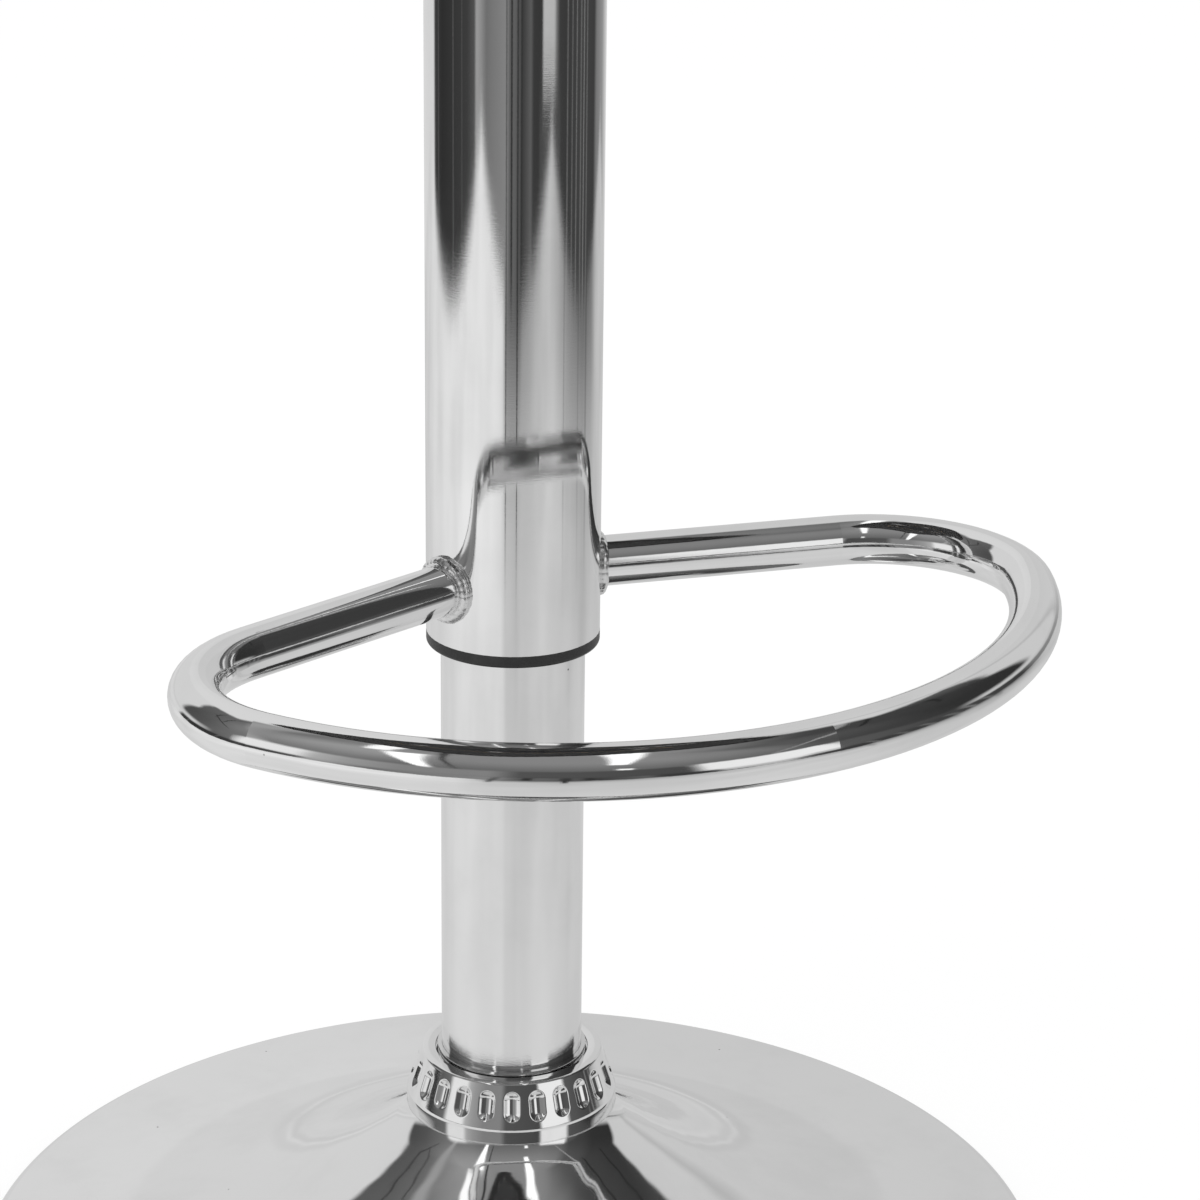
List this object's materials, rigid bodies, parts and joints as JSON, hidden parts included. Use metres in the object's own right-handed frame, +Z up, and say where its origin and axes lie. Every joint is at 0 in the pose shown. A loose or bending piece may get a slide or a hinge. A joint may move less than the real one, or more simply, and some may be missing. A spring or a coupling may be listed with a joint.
{
  "type": "bar stool",
  "caption": "Height-adjustable swivel bar stool: chrome trumpet base and dimpled collar, gas-lift column, sliding sleeve with a welded D footrest, padded seat and lift lever.",
  "frame": {"origin": "on the floor, under the middle of the base, on the column's axis", "axes": "+Z up along the column; the footrest points to -Y; the lift lever is on the +X side"},
  "size_m": [0.4102, 0.4002, 0.772],
  "materials": {
    "chrome": "polished chrome plate",
    "steel": "plain turned steel",
    "zinc": "bright zinc plate",
    "black_paint": "satin black powder coat",
    "pin_steel": "ground steel",
    "black_plastic": "moulded black plastic",
    "rubber": "moulded black rubber",
    "plywood": "raw plywood",
    "cover_cloth": "pressed black fibre sheet",
    "foam": "open-cell foam",
    "vinyl": "soft grained black vinyl"
  },
  "bodies": {
    "base": {"base_shell": "chrome", "floor_ring": "rubber", "base_weight": "steel", "taper_socket": "steel", "collar": "chrome", "column_tube": "chrome", "guide_bush": "black_plastic", "end_plate": "steel", "lower_race": "steel", "bearing_balls": "steel", "bearing_cage": "black_plastic"},
    "rod": {"piston_rod": "steel", "piston": "steel", "upper_race": "steel", "bumper": "rubber", "rod_washer": "steel", "rod_clip": "steel"},
    "seat": {"gas_cylinder": "black_paint", "cylinder_gland": "black_paint", "sleeve": "chrome", "sleeve_bush": "black_plastic", "centring_ring": "black_plastic", "sleeve_cap": "steel", "footrest": "chrome", "weld_beads": "chrome", "mechanism_box": "black_paint", "cone_socket": "black_paint", "seat_plate": "black_paint", "lever_pin": "steel", "seat_board": "plywood", "seat_screws": "zinc", "screw_washers": "zinc", "tee_nuts": "zinc", "under_cover": "cover_cloth", "seat_foam": "foam", "seat_cover": "vinyl", "seat_piping": "vinyl"},
    "lever": {"lever_tongue": "black_paint", "lever_rod": "chrome", "lever_grip": "black_plastic"},
    "release": {"release_pin": "pin_steel"}
  },
  "joints": [
    {"name": "seat_swivel", "type": "hinge", "parent": "base", "child": "rod", "pos_m": [0, 0, 0.022], "axis": [0, 0, 1], "continuous": true},
    {"name": "height_lift", "type": "slide", "parent": "rod", "child": "seat", "axis": [0, 0, 1], "range_m": [-0.15, 0.06]},
    {"name": "lever_lift", "type": "hinge", "parent": "seat", "child": "lever", "pos_m": [0.045, 0, 0.6835], "axis": [0, -1, 0], "range_deg": [0, 4], "stiffness_Nm_per_rad": 6, "springref_deg": -1.72},
    {"name": "release_press", "type": "slide", "parent": "seat", "child": "release", "axis": [0, 0, -1], "range_m": [0, 0.0033], "stiffness_N_per_m": 1500}
  ],
  "couplings": [
    {"joint": "release_press", "follows": "lever_lift", "m_per_rad": 0.045}
  ]
}
